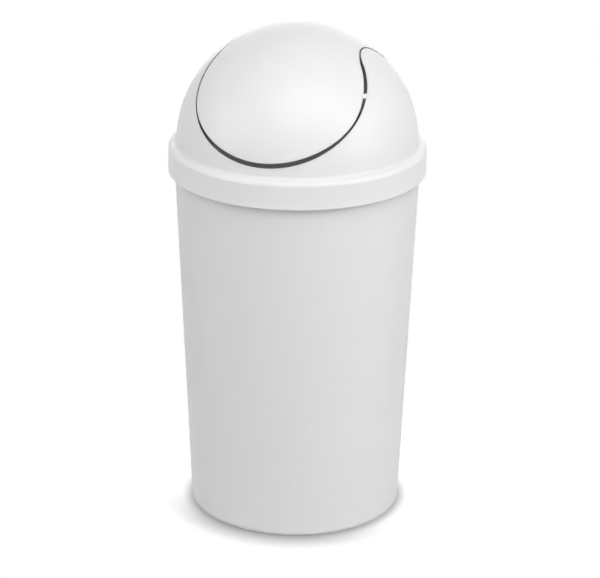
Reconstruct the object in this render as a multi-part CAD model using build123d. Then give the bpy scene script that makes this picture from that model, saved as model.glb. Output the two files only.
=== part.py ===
from build123d import *
import math
import os

# Swing-top wastebasket in three mouldings: a tapered bin, a domed lid with a collar, and a
# swing flap that rocks on two stub pins in the ears of the lid.
# Frame: +Z up, the origin at the centre of the foot on the floor, the front of the lid towards -Y.
# Driving dimensions, in millimetres and degrees

# Bin
base_radius = 97.7
bin_height = 350.6
bin_wall = 1.8
base_edge_radius = 5.0
foot_width = 9.0
foot_height = 4.0
foot_slope = 2.5
bead_height = 6.5
bead_depth = 2.3
gate_radius = 6.0
gate_depth = 0.7

# Lid: collar, ledge and dome
collar_radius = 118.0
collar_height = 25.5
collar_draft = 0.8
collar_edge_radius = 4.5
lip_round = 0.6
ledge_width = 7.3
ledge_round = 2.5
lid_wall = 2.0
plug_depth = 12.0
plug_draft = 2.5
rim_clearance = 0.5
plug_clearance = 0.6

# Lid: the two openings, each a cap cut off the dome by a leaning plane, and the ears between them
opening_tilt = 40.5
cap_depth = 32.1
ear_tip_radius = 33.4

# Flap: its wall and the seam round it, which is narrowest at the ears' tips and beside the widest part
flap_wall = 2.0
tip_gap = 0.4
shoulder_gap = 2.4
shoulder_station = -15.0
side_gap = 1.1
side_station = 22.0
low_gap = 2.8
seam_round = 0.25
seam_land = 0.2

# Hinge
hinge_drop = 8.8
pin_radius = 3.0
pin_length = 9.0
pin_clearance = 0.2
pin_chamfer = 0.8
boss_radius = 5.8
pin_end_clearance = 1.2
lug_setback = 8.1
lug_thickness = 3.0
lug_radius = 6.5
lug_side_clearance = 0.8
lead_in_depth = 2.0
gusset_thickness = 2.0
gusset_reach = 22.0

# Places that follow from them
dome_radius = collar_radius - ledge_width
dome_z = bin_height + lid_wall
collar_bottom_z = dome_z - collar_height
collar_inside_radius = collar_radius - lid_wall
bead_radius = collar_inside_radius - rim_clearance
mouth_radius = bead_radius - bead_depth
tilt = math.radians(opening_tilt)
opening_reach = dome_radius - cap_depth
opening_radius = math.sqrt(dome_radius**2 - opening_reach**2)
ear_centre_z = (opening_reach - ear_tip_radius) / math.cos(tilt)
ear_tip_z = ear_centre_z + ear_tip_radius
notch_tip_z = ear_tip_z + tip_gap
notch_centre_z = (notch_tip_z - opening_reach - shoulder_gap) / (1 - math.cos(tilt))
hinge_z = dome_z + ear_tip_z - hinge_drop
waist_half_width = math.sqrt(dome_radius**2 - notch_tip_z**2)
lug_outer_face = waist_half_width - lug_setback
cut_span = 3 * dome_radius


def bin_outside_radius(z):
    """Outside radius of the bin's straight tapered wall at height z."""
    return base_radius + (mouth_radius - base_radius) * z / bin_height


def in_opening(along, out):
    """Side-view point of the front opening: along its plane from the middle, and out from the dome's centre."""
    forward = out * math.sin(tilt) + along * math.cos(tilt)
    up = out * math.cos(tilt) - along * math.sin(tilt)
    return (-forward, dome_z + up)


def opening_frame(front):
    """Plane whose normal is the axis of the front or rear opening, from the dome's centre."""
    lean = -1 if front else 1
    return Plane(origin=(0, 0, dome_z), x_dir=(1, 0, 0), z_dir=(0, lean * math.sin(tilt), math.cos(tilt)))


def flipped(point):
    """The same side-view point on the rear half."""
    return (-point[0], point[1])


# Bin
def bin_tub():
    """Thin tub with a foot ring: one drawn profile, turned, then hollowed from the mouth."""
    foot_inside = base_radius - base_edge_radius - foot_width
    points = [
        (0, foot_height),
        (foot_inside - foot_slope, foot_height),
        (foot_inside, 0),
        (base_radius, 0),
        (mouth_radius, bin_height),
        (0, bin_height),
    ]
    profile = make_face(Polyline(*points, close=True))
    foot_corner = profile.vertices().sort_by_distance((base_radius, 0, 0))[0]
    profile = fillet(foot_corner, base_edge_radius)
    block = revolve(Plane.XZ * profile, Axis.Z)
    mouth = block.faces().sort_by(Axis.Z)[-1]
    return offset(block, amount=-bin_wall, openings=mouth)


def mouth_bead():
    """Solid bead round the outside of the mouth, which the lid's collar passes over."""
    bottom_z = bin_height - bead_height
    inside = bin_outside_radius(bottom_z) - bin_wall / 2
    points = [(inside, bottom_z), (bead_radius, bottom_z), (bead_radius, bin_height), (inside, bin_height)]
    profile = make_face(Polyline(*points, close=True))
    top_corner = profile.vertices().sort_by_distance((bead_radius, bin_height, 0))[0]
    profile = fillet(top_corner, collar_edge_radius - lid_wall + rim_clearance)
    low_corner = profile.vertices().sort_by_distance((bead_radius, bottom_z, 0))[0]
    profile = fillet(low_corner, lip_round)
    return revolve(Plane.XZ * profile, Axis.Z)


def make_bin_body():
    gate = Pos(0, 0, foot_height) * Cylinder(gate_radius, 2 * gate_depth)
    return bin_tub() + mouth_bead() - gate


# Dome surface shared by the lid and the flap
def dome_ball(inset):
    """Solid ball of the dome, smaller by the inset."""
    return Pos(0, 0, dome_z) * Sphere(dome_radius - inset)


def seam_edges(shell):
    """Edges of a cut dome that lie on its outer surface, apart from the level circle at its foot."""
    centre = Vector(0, 0, dome_z)
    found = ShapeList()
    for edge in shell.edges():
        spots = [edge.position_at(share) for share in (0, 0.25, 0.5, 0.75, 1)]
        on_dome = all(abs((spot - centre).length - dome_radius) < 0.01 for spot in spots)
        if on_dome and edge.bounding_box().size.Z > seam_round:
            found.append(edge)
    return found


# Lid
def collar_radius_at(z):
    """Outside radius of the drafted collar at height z."""
    return collar_radius + (dome_z - z) * math.tan(math.radians(collar_draft))


def lid_shell():
    """Collar, ledge, plug ring and whole dome, turned from one closed section."""
    plug_top = mouth_radius - bin_wall - plug_clearance
    plug_bottom = plug_top - plug_depth * math.tan(math.radians(plug_draft))
    plug_z = bin_height - plug_depth
    outer_foot = (collar_radius_at(collar_bottom_z), collar_bottom_z)
    inner_foot = (outer_foot[0] - lid_wall, collar_bottom_z)
    shoulder = (collar_radius, dome_z)
    dome_foot = (dome_radius, dome_z)
    dome_inside = dome_radius - lid_wall
    seat_outside = (collar_inside_radius, bin_height)
    section = [
        Line(inner_foot, outer_foot),
        Line(outer_foot, shoulder),
        Line(shoulder, dome_foot),
        CenterArc((0, dome_z), dome_radius, 0, 90),
        Line((0, dome_z + dome_radius), (0, dome_z + dome_inside)),
        CenterArc((0, dome_z), dome_inside, 0, 90),
        Line((dome_inside, dome_z), (plug_bottom - lid_wall, plug_z)),
        Line((plug_bottom - lid_wall, plug_z), (plug_bottom, plug_z)),
        Line((plug_bottom, plug_z), (plug_top, bin_height)),
        Line((plug_top, bin_height), seat_outside),
        Line(seat_outside, inner_foot),
    ]
    profile = make_face(section)
    rounds = [
        (shoulder, collar_edge_radius),
        (dome_foot, ledge_round),
        (seat_outside, collar_edge_radius - lid_wall),
        (outer_foot, lip_round),
        (inner_foot, lip_round),
        ((plug_bottom, plug_z), lip_round),
    ]
    for corner, radius in rounds:
        nearest = profile.vertices().sort_by_distance((corner[0], corner[1], 0))[0]
        profile = fillet(nearest, radius)
    return revolve(Plane.XZ * profile, Axis.Z)


def opening_cutter():
    """Prism across the lid above both opening planes, with the rounded ears left standing between them."""
    far = in_opening(cut_span, opening_reach)
    front_tangent = in_opening(-ear_centre_z * math.sin(tilt), opening_reach)
    tip = (0, dome_z + ear_tip_z)
    sky = dome_z + cut_span
    edge = [
        Line(far, front_tangent),
        ThreePointArc(front_tangent, tip, flipped(front_tangent)),
        Line(flipped(front_tangent), flipped(far)),
        Polyline(flipped(far), (-far[0], sky), (far[0], sky), far),
    ]
    return extrude(Plane.YZ * make_face(edge), amount=cut_span / 2, both=True)


def opening_relief(front):
    """Undercut that lets the flap's edge drop straight through the wall behind the opening's edge."""
    radius = opening_radius - seam_land
    inside = dome_radius - lid_wall
    depth = opening_reach - math.sqrt(inside**2 - radius**2)
    slug = Pos(0, 0, opening_reach - depth) * Cylinder(
        radius, 2 * depth, align=(Align.CENTER, Align.CENTER, Align.MIN)
    )
    return opening_frame(front) * slug


def ear_relief():
    """Upright undercut behind both ear tips, so that the notch of the flap can pass close by them."""
    forward = ear_tip_radius * math.sin(tilt)
    up = ear_centre_z + ear_tip_radius * math.cos(tilt)
    nose = math.sqrt(dome_radius**2 - ear_tip_z**2) - seam_land
    shoulder = math.sqrt(dome_radius**2 - forward**2 - up**2) - seam_land
    outline = [
        ThreePointArc((shoulder, -forward), (nose, 0), (shoulder, forward)),
        Line((shoulder, forward), (-shoulder, forward)),
        ThreePointArc((-shoulder, forward), (-nose, 0), (-shoulder, -forward)),
        Line((-shoulder, -forward), (shoulder, -forward)),
    ]
    return Pos(0, 0, dome_z) * extrude(make_face(outline), amount=dome_radius)


def pin_tip():
    return lug_outer_face + pin_length


def boss(side):
    """Round boss inside one ear, with the blind hole for the flap's pin and a lead-in ramp below it."""
    face_x = lug_outer_face + lug_side_clearance
    hole_radius = pin_radius + pin_clearance
    hole_end = pin_tip() + pin_end_clearance
    post = Pos(face_x, 0, hinge_z) * Rot(0, 90, 0) * Cylinder(
        boss_radius, dome_radius - face_x, align=(Align.CENTER, Align.CENTER, Align.MIN)
    )
    inside_dome = Pos(0, 0, dome_z) * Sphere(dome_radius - lid_wall / 2)
    hole = Pos(0, 0, hinge_z) * Rot(0, 90, 0) * Cylinder(
        hole_radius, hole_end, align=(Align.CENTER, Align.CENTER, Align.MIN)
    )
    ramp_outline = Polyline(
        (face_x - pin_radius, hinge_z),
        (face_x, hinge_z),
        (face_x + lead_in_depth, hinge_z - boss_radius),
        (face_x + lead_in_depth, hinge_z - 2 * boss_radius),
        (face_x - pin_radius, hinge_z - 2 * boss_radius),
        close=True,
    )
    ramp = extrude(Plane.XZ * make_face(ramp_outline), amount=hole_radius, both=True)
    one = (post & inside_dome) - hole - ramp
    return one if side > 0 else mirror(one, Plane.YZ)


def make_dome_lid():
    lid = lid_shell() - opening_cutter()
    lid = fillet(seam_edges(lid), seam_round)
    lid = lid - opening_relief(True) - opening_relief(False) - ear_relief()
    return lid + boss(1) + boss(-1)


# Flap
def flap_edge(rear):
    """Edge of one half in side view: from the arc of the notch down past the widest part to the low front."""
    places = [
        (-notch_centre_z * math.sin(tilt), shoulder_gap),
        (shoulder_station, shoulder_gap),
        (side_station, side_gap),
        (opening_radius, low_gap),
    ]
    points = [in_opening(along, opening_reach + gap) for along, gap in places]
    down = (-math.cos(tilt), -math.sin(tilt))
    if rear:
        points = [flipped(point) for point in points]
        down = flipped(down)
    return Spline(*points, tangents=[down, down])


def flap_region():
    """Prism across the dome above the flap's edge, with a notch over each ear."""
    front = flap_edge(False)
    rear = flap_edge(True)
    tip = (0, dome_z + notch_tip_z)
    sky = dome_z + cut_span
    low = (front.position_at(1).X, front.position_at(1).Y)
    top_front = (front.position_at(0).X, front.position_at(0).Y)
    edge = [
        front,
        ThreePointArc(top_front, tip, flipped(top_front)),
        rear,
        Polyline(flipped(low), (cut_span, low[1]), (cut_span, sky), (-cut_span, sky), (-cut_span, low[1]), low),
    ]
    return extrude(Plane.YZ * make_face(edge), amount=cut_span / 2, both=True)


def lug(side):
    """Plate that hangs under one shoulder of the flap, with a gusset behind it and the stub pin in front."""
    inner_face = lug_outer_face - lug_thickness
    sky = dome_z + dome_radius
    plate = Pos(inner_face, 0, hinge_z) * Rot(0, 90, 0) * Cylinder(
        lug_radius, lug_thickness, align=(Align.CENTER, Align.CENTER, Align.MIN)
    )
    plate += Pos(inner_face, 0, hinge_z) * Box(
        lug_thickness, 2 * lug_radius, sky - hinge_z, align=(Align.MIN, Align.CENTER, Align.MIN)
    )
    gusset_outline = Polyline(
        (inner_face, hinge_z - pin_radius),
        (inner_face, sky),
        (inner_face - gusset_reach, sky),
        (inner_face - gusset_reach, hinge_z + gusset_reach),
        close=True,
    )
    plate += extrude(Plane.XZ * make_face(gusset_outline), amount=gusset_thickness / 2, both=True)
    pin = Cylinder(pin_radius, pin_length, align=(Align.CENTER, Align.CENTER, Align.MIN))
    pin = chamfer(pin.edges().sort_by(Axis.Z)[-1], pin_chamfer)
    pin = Pos(lug_outer_face, 0, hinge_z) * Rot(0, 90, 0) * pin
    one = (plate & dome_ball(flap_wall / 2)) + pin
    return one if side > 0 else mirror(one, Plane.YZ)


def make_swing_flap():
    flap = (dome_ball(0) - dome_ball(flap_wall)) & flap_region()
    flap = fillet(seam_edges(flap), seam_round)
    return flap + lug(1) + lug(-1)


parts = {
    "bin_body": make_bin_body(),
    "dome_lid": make_dome_lid(),
    "swing_flap": make_swing_flap(),
}

os.makedirs("parts", exist_ok=True)
for node, solid in parts.items():
    solid.label = node
    export_step(solid, f"parts/{node}.step")
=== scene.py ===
import math

import bpy
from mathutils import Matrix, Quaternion, Vector

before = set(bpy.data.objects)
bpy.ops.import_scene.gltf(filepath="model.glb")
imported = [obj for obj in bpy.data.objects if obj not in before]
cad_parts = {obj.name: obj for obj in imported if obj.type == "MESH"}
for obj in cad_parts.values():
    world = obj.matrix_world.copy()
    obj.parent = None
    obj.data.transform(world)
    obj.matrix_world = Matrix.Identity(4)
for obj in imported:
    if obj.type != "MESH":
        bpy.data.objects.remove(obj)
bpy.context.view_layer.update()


# Bin body: the tapered tub, one injection moulding in white polypropylene. Its tool was finely
# spark-eroded, so the wall has a dull even grain with faint flow marks up its length, and its foot is
# rubbed and a little grey where it slides on floors. It stands loose on its foot ring.
bin_white = (0.800, 0.800, 0.797, 1)
bin_cloud = (0.775, 0.776, 0.775, 1)
floor_grey = (0.52, 0.505, 0.48, 1)
bin_specular = 0.3
bin_roughness = 0.5
bin_roughness_range = (0.46, 0.54)
bin_cloud_scale = 16.0
cloud_band = (0.3, 0.7)
flow_scale = 90.0
flow_stretch = (1, 1, 0.05)
flow_band = (0.35, 0.65)
flow_roughness = 0.035
flow_depth = 0.00002
speck_scale = 260.0
speck_band = (0.5, 0.7)
scuff_top = 0.009
scuff_share = 0.16
scuff_roughness = 0.25
bin_wave_scale = 11.0
bin_wave_stretch = (1, 1, 0.4)
bin_wave_depth = 0.0005
bin_grain_scale = 2100.0
bin_grain_depth = 0.00004
plastic_ior = 1.49
bleed_weight = 0.6
bleed_radius = (1.0, 0.97, 0.94)
bleed_length = 0.004


def new_plastic(name, roughness, specular):
    """A Principled plastic with its nodes, before its own grain and wear are added."""
    plastic = bpy.data.materials.new(name)
    plastic.use_nodes = True
    shader = plastic.node_tree.nodes["Principled BSDF"]
    shader.inputs["Roughness"].default_value = roughness
    shader.inputs["IOR"].default_value = plastic_ior
    shader.inputs["Specular IOR Level"].default_value = specular
    shader.inputs["Subsurface Weight"].default_value = bleed_weight
    shader.inputs["Subsurface Radius"].default_value = bleed_radius
    shader.inputs["Subsurface Scale"].default_value = bleed_length
    return plastic, plastic.node_tree.nodes, plastic.node_tree.links, shader


def noise_at(nodes, links, scale, detail=3.0, stretch=(1, 1, 1)):
    """Noise in the object's own metres, drawn out along an axis where stretch is under 1."""
    place = nodes.new("ShaderNodeTexCoord")
    fit = nodes.new("ShaderNodeMapping")
    fit.inputs["Scale"].default_value = stretch
    noise = nodes.new("ShaderNodeTexNoise")
    noise.inputs["Scale"].default_value = scale
    noise.inputs["Detail"].default_value = detail
    links.new(place.outputs["Object"], fit.inputs["Vector"])
    links.new(fit.outputs["Vector"], noise.inputs["Vector"])
    return noise.outputs["Fac"]


def ranged(nodes, links, value, low, high, to_low, to_high):
    """Value mapped from one range to another, held inside it."""
    step = nodes.new("ShaderNodeMapRange")
    step.inputs["From Min"].default_value = low
    step.inputs["From Max"].default_value = high
    step.inputs["To Min"].default_value = to_low
    step.inputs["To Max"].default_value = to_high
    links.new(value, step.inputs["Value"])
    return step.outputs["Result"]


def combined(nodes, links, operation, first, second):
    """Two values put together by a maths operation; the second may be a plain number."""
    result = nodes.new("ShaderNodeMath")
    result.operation = operation
    links.new(first, result.inputs[0])
    if isinstance(second, float):
        result.inputs[1].default_value = second
    else:
        links.new(second, result.inputs[1])
    return result.outputs["Value"]


def across(nodes, links, axis, low, high, to_low=0.0, to_high=1.0):
    """Share that grows along one of the object's own axes, between two places in metres."""
    place = nodes.new("ShaderNodeTexCoord")
    parts = nodes.new("ShaderNodeSeparateXYZ")
    links.new(place.outputs["Object"], parts.inputs["Vector"])
    return ranged(nodes, links, parts.outputs[axis], low, high, to_low, to_high)


def tinted(nodes, links, share, first, second):
    """Colour between two by a share; first may be a colour or the result of another tint."""
    mix = nodes.new("ShaderNodeMix")
    mix.data_type = "RGBA"
    if isinstance(first, tuple):
        mix.inputs["A"].default_value = first
    else:
        links.new(first, mix.inputs["A"])
    mix.inputs["B"].default_value = second
    links.new(share, mix.inputs["Factor"])
    return mix.outputs["Result"]


def raised(nodes, links, height, depth, below=None):
    """Bump of that depth in metres, laid over another bump where one is given."""
    bump = nodes.new("ShaderNodeBump")
    bump.inputs["Strength"].default_value = 1.0
    bump.inputs["Distance"].default_value = depth
    links.new(height, bump.inputs["Height"])
    if below is not None:
        links.new(below, bump.inputs["Normal"])
    return bump.outputs["Normal"]


def dress(node, plastic):
    """Puts a finish on the named moulding."""
    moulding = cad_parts[node]
    moulding.data.materials.clear()
    moulding.data.materials.append(plastic)


plastic, nodes, links, shader = new_plastic("bin_spark_grain_plastic", bin_roughness, bin_specular)
cloud = noise_at(nodes, links, bin_cloud_scale, 2.0)
flow = noise_at(nodes, links, flow_scale, 2.0, flow_stretch)
specks = noise_at(nodes, links, speck_scale, 4.0)
rubbed = across(nodes, links, "Z", 0.0, scuff_top, 1.0, 0.0)
speckled = ranged(nodes, links, specks, *speck_band, 0.0, scuff_share)
scuff = combined(nodes, links, "MULTIPLY", rubbed, speckled)
colour = tinted(nodes, links, cloud, bin_white, bin_cloud)
links.new(tinted(nodes, links, scuff, colour, floor_grey), shader.inputs["Base Color"])
even = ranged(nodes, links, cloud, *cloud_band, *bin_roughness_range)
streaks = ranged(nodes, links, flow, *flow_band, -flow_roughness, flow_roughness)
worn = combined(nodes, links, "MULTIPLY", scuff, scuff_roughness)
rough = combined(nodes, links, "ADD", combined(nodes, links, "ADD", even, streaks), worn)
links.new(rough, shader.inputs["Roughness"])
waves = noise_at(nodes, links, bin_wave_scale, 1.0, bin_wave_stretch)
wall_wave = raised(nodes, links, waves, bin_wave_depth)
flow_mark = raised(nodes, links, flow, flow_depth, wall_wave)
sparks = noise_at(nodes, links, bin_grain_scale, 2.0)
links.new(raised(nodes, links, sparks, bin_grain_depth, flow_mark), shader.inputs["Normal"])
dress("bin_body", plastic)


# Dome lid: collar, ledge and dome in one white moulding, with a finer grain than the bin. It drops
# over the bin's mouth and lifts off by hand, so hands have smoothed its collar and left faint
# level rubs on it, and a little dust lies on the ledge.
lid_white = (0.805, 0.805, 0.802, 1)
lid_cloud = (0.785, 0.786, 0.785, 1)
dust_grey = (0.66, 0.65, 0.63, 1)
satin_roughness = 0.40
lid_specular = 0.45
lid_roughness_range = (0.36, 0.43)
lid_cloud_scale = 19.0
rub_scale = 55.0
rub_stretch = (1, 1, 9.0)
rub_band = (0.4, 0.65)
rub_roughness = -0.07
mote_scale = 420.0
mote_band = (0.55, 0.75)
dust_share = 0.12
dust_clear, dust_full = 0.008, 0.001
dust_start = -0.003
collar_top = 0.3526
collar_blend = 0.004
lid_wave_scale = 13.0
satin_wave_depth = 0.0003
satin_grain_scale = 2600.0
satin_grain_depth = 0.00002

plastic, nodes, links, shader = new_plastic("lid_satin_plastic", satin_roughness, lid_specular)
cloud = noise_at(nodes, links, lid_cloud_scale, 2.0)
rubs = noise_at(nodes, links, rub_scale, 3.0, rub_stretch)
motes = noise_at(nodes, links, mote_scale, 5.0)
on_collar = across(nodes, links, "Z", collar_top + collar_blend, collar_top - collar_blend)
near_ledge = combined(
    nodes,
    links,
    "MULTIPLY",
    across(nodes, links, "Z", collar_top + dust_clear, collar_top + dust_full),
    across(nodes, links, "Z", collar_top + dust_start, collar_top),
)
settled = ranged(nodes, links, motes, *mote_band, 0.0, dust_share)
dust = combined(nodes, links, "MULTIPLY", near_ledge, settled)
colour = tinted(nodes, links, cloud, lid_white, lid_cloud)
links.new(tinted(nodes, links, dust, colour, dust_grey), shader.inputs["Base Color"])
even = ranged(nodes, links, cloud, *cloud_band, *lid_roughness_range)
smoothed = ranged(nodes, links, rubs, *rub_band, 0.0, rub_roughness)
handled = combined(nodes, links, "MULTIPLY", on_collar, smoothed)
links.new(combined(nodes, links, "ADD", even, handled), shader.inputs["Roughness"])
shell_wave = raised(nodes, links, noise_at(nodes, links, lid_wave_scale, 1.0), satin_wave_depth)
satin = noise_at(nodes, links, satin_grain_scale, 2.0)
links.new(raised(nodes, links, satin, satin_grain_depth, shell_wave), shader.inputs["Normal"])
dress("dome_lid", plastic)


# Swing flap: the saddle-shaped door, one white moulding that hangs on two stub pins in the ears of
# the lid. Hands push it low on both caps, where its grain has worn smoother, and the push has left
# hair-fine scratches that run down the caps.
flap_white = (0.815, 0.815, 0.812, 1)
flap_cloud = (0.797, 0.798, 0.797, 1)
flap_specular = 0.5
flap_roughness_range = (0.38, 0.45)
flap_cloud_scale = 21.0
push_top, push_bottom = 0.425, 0.375
polish_band = (0.35, 0.6)
polish_range = (-0.01, -0.07)
hair_scale = 700.0
hair_stretch = (1, 0.06, 0.06)
hair_band = (0.66, 0.74)
hair_roughness = 0.09
hair_depth = 0.00006
flap_wave_scale = 12.0

plastic, nodes, links, shader = new_plastic("flap_satin_plastic", satin_roughness, flap_specular)
cloud = noise_at(nodes, links, flap_cloud_scale, 2.0)
hairs = noise_at(nodes, links, hair_scale, 2.0, hair_stretch)
links.new(tinted(nodes, links, cloud, flap_white, flap_cloud), shader.inputs["Base Color"])
even = ranged(nodes, links, cloud, *cloud_band, *flap_roughness_range)
pushed = across(nodes, links, "Z", push_top, push_bottom)
polished = ranged(nodes, links, cloud, *polish_band, *polish_range)
polish = combined(nodes, links, "MULTIPLY", pushed, polished)
scratched = ranged(nodes, links, hairs, *hair_band, 0.0, hair_roughness)
rough = combined(nodes, links, "ADD", combined(nodes, links, "ADD", even, polish), scratched)
links.new(rough, shader.inputs["Roughness"])
shell_wave = raised(nodes, links, noise_at(nodes, links, flap_wave_scale, 1.0), satin_wave_depth)
scratch = raised(nodes, links, scratched, hair_depth, shell_wave)
satin = noise_at(nodes, links, satin_grain_scale, 2.0)
links.new(raised(nodes, links, satin, satin_grain_depth, scratch), shader.inputs["Normal"])
dress("swing_flap", plastic)


# Floor: one pale sheet that fades to plain white. What the camera and the gloss see of it is a glow
# with a painted contact shadow, darker close to the foot and a little further out in front than at
# the sides, laid over a quarter of its real lamp-lit shading.
floor_half = 6.0
floor_white = (0.7, 0.7, 0.7, 1)
plain_white = (1, 1, 1, 1)
floor_lift = 0.9
lit_share = 0.25
side_reach, side_darkest = 0.012, 0.42
front_reach, front_darkest = 0.036, 0.27
front_start, front_full = -0.03, -0.09
contact_band = (0.5, 0.97)
contact_samples = 16
fade_from, fade_to = 0.22, 0.42
bpy.ops.mesh.primitive_plane_add(size=2 * floor_half, location=(0, 0, 0))
floor = bpy.context.object
floor.name = "floor"
paper = bpy.data.materials.new("white_paper")
paper.use_nodes = True
nodes = paper.node_tree.nodes
links = paper.node_tree.links
nodes.clear()


def seen_directly(nodes, links):
    """One for rays from the camera, through glass or off gloss, and nothing for the light itself."""
    rays = nodes.new("ShaderNodeLightPath")
    camera_or_glass = combined(
        nodes, links, "MAXIMUM", rays.outputs["Is Camera Ray"], rays.outputs["Is Transmission Ray"]
    )
    return combined(nodes, links, "MAXIMUM", camera_or_glass, rays.outputs["Is Glossy Ray"])


def glow_with_painted_shadow(reach, darkest):
    """Glow level with a painted contact shadow, darker where the part stands within that reach."""
    painted_shadow_occlusion = nodes.new("ShaderNodeAmbientOcclusion")
    painted_shadow_occlusion.samples = contact_samples
    painted_shadow_occlusion.inputs["Distance"].default_value = reach
    open_part = painted_shadow_occlusion.outputs["AO"]
    return ranged(nodes, links, open_part, *contact_band, darkest * floor_lift, floor_lift)


out = nodes.new("ShaderNodeOutputMaterial")
matt = nodes.new("ShaderNodeBsdfDiffuse")
matt.inputs["Color"].default_value = floor_white
glow = nodes.new("ShaderNodeEmission")
glow.inputs["Color"].default_value = plain_white
# Painted contact shadow: the glow is dimmed by occlusion, with a wider reach in front than at the
# sides.
in_front = across(nodes, links, "Y", front_start, front_full)
front_painted_shadow = combined(nodes, links, "MULTIPLY", in_front, glow_with_painted_shadow(front_reach, front_darkest))
less_one = combined(nodes, links, "SUBTRACT", in_front, 1.0)
elsewhere = combined(nodes, links, "MULTIPLY", less_one, -1.0)
side_painted_shadow = combined(nodes, links, "MULTIPLY", elsewhere, glow_with_painted_shadow(side_reach, side_darkest))
painted_shadow_glow = combined(nodes, links, "ADD", front_painted_shadow, side_painted_shadow)
glow_level = combined(nodes, links, "MULTIPLY", seen_directly(nodes, links), painted_shadow_glow)
links.new(glow_level, glow.inputs["Strength"])
thinned = nodes.new("ShaderNodeMixShader")
darkness = nodes.new("ShaderNodeEmission")
darkness.inputs["Strength"].default_value = 0.0
held_back = combined(nodes, links, "MULTIPLY", seen_directly(nodes, links), 1.0 - lit_share)
links.new(held_back, thinned.inputs["Fac"])
links.new(matt.outputs[0], thinned.inputs[1])
links.new(darkness.outputs[0], thinned.inputs[2])
near = nodes.new("ShaderNodeAddShader")
links.new(thinned.outputs[0], near.inputs[0])
links.new(glow.outputs[0], near.inputs[1])
plain = nodes.new("ShaderNodeEmission")
plain.inputs["Color"].default_value = plain_white
plain.inputs["Strength"].default_value = 1.0
place = nodes.new("ShaderNodeTexCoord")
away = nodes.new("ShaderNodeVectorMath")
away.operation = "LENGTH"
links.new(place.outputs["Object"], away.inputs[0])
far = ranged(nodes, links, away.outputs["Value"], fade_from, fade_to, 0.0, 1.0)
faded = nodes.new("ShaderNodeMixShader")
links.new(combined(nodes, links, "MULTIPLY", far, seen_directly(nodes, links)), faded.inputs["Fac"])
links.new(near.outputs[0], faded.inputs[1])
links.new(plain.outputs[0], faded.inputs[2])
links.new(faded.outputs[0], out.inputs["Surface"])
floor.data.materials.append(paper)


# Studio light: a soft white surround and five large soft boxes, the strongest in front and to the
# right, with one low behind so that the back is lit too. The backdrop that the camera and the gloss
# see is plain white.
surround_level = 0.30
backdrop_level = 1.0
box_side = 1.4
box_reach = 2.2
box_aim = Vector((0, 0, 0.25))
world = bpy.data.worlds.new("studio")
bpy.context.scene.world = world
world.use_nodes = True
nodes = world.node_tree.nodes
links = world.node_tree.links
nodes.clear()
out = nodes.new("ShaderNodeOutputWorld")
surround = nodes.new("ShaderNodeBackground")
surround.inputs["Color"].default_value = plain_white
surround.inputs["Strength"].default_value = surround_level
backdrop = nodes.new("ShaderNodeBackground")
backdrop.inputs["Color"].default_value = plain_white
backdrop.inputs["Strength"].default_value = backdrop_level
choose = nodes.new("ShaderNodeMixShader")
links.new(seen_directly(nodes, links), choose.inputs["Fac"])
links.new(surround.outputs[0], choose.inputs[1])
links.new(backdrop.outputs[0], choose.inputs[2])
links.new(choose.outputs[0], out.inputs["Surface"])


def backward(azimuth, elevation):
    """Unit vector from what is looked at towards a lamp or camera at that side and height."""
    return Vector(
        (
            math.sin(azimuth) * math.cos(elevation),
            -math.cos(azimuth) * math.cos(elevation),
            math.sin(elevation),
        )
    )


def soft_box(name, azimuth, elevation, power):
    """Square area lamp that looks at the middle of the object from that side, in degrees."""
    lamp = bpy.data.lights.new(name, "AREA")
    lamp.shape = "SQUARE"
    lamp.size = box_side
    lamp.energy = power
    stand = bpy.data.objects.new(name, lamp)
    bpy.context.scene.collection.objects.link(stand)
    back = backward(math.radians(azimuth), math.radians(elevation))
    stand.location = box_aim + box_reach * back
    stand.rotation_euler = (-back).to_track_quat("-Z", "Y").to_euler()


soft_box("low_right_box", 80, 20, 16.6)
soft_box("low_left_box", -55, 20, 12.3)
soft_box("high_front_box", 10, 50, 15.8)
soft_box("high_right_box", 55, 50, 11.9)
soft_box("low_rear_box", 197, 5, 10.0)


# Camera: a long lens a little above the object, to the right of the lid's front.
camera_azimuth = math.radians(17.0)
camera_elevation = math.radians(20.65)
camera_roll = math.radians(0.44)
camera_distance = 2.596
camera_aim = Vector((0, 0, 0.2242))
film_width = 36
focal_pixels = 2791.3
picture_width = 600
aim_right_of_centre = -3.5
aim_above_centre = 16.05
back = backward(camera_azimuth, camera_elevation)
lens = bpy.data.cameras.new("camera")
lens.sensor_width = film_width
lens.lens = focal_pixels / picture_width * lens.sensor_width
lens.shift_x = -aim_right_of_centre / picture_width
lens.shift_y = -aim_above_centre / picture_width
camera = bpy.data.objects.new("camera", lens)
bpy.context.scene.collection.objects.link(camera)
camera.location = camera_aim + camera_distance * back
camera.rotation_mode = "QUATERNION"
camera.rotation_quaternion = (-back).to_track_quat("-Z", "Y") @ Quaternion((0, 0, 1), camera_roll)
bpy.context.scene.camera = camera

bpy.context.scene.view_settings.view_transform = "Standard"
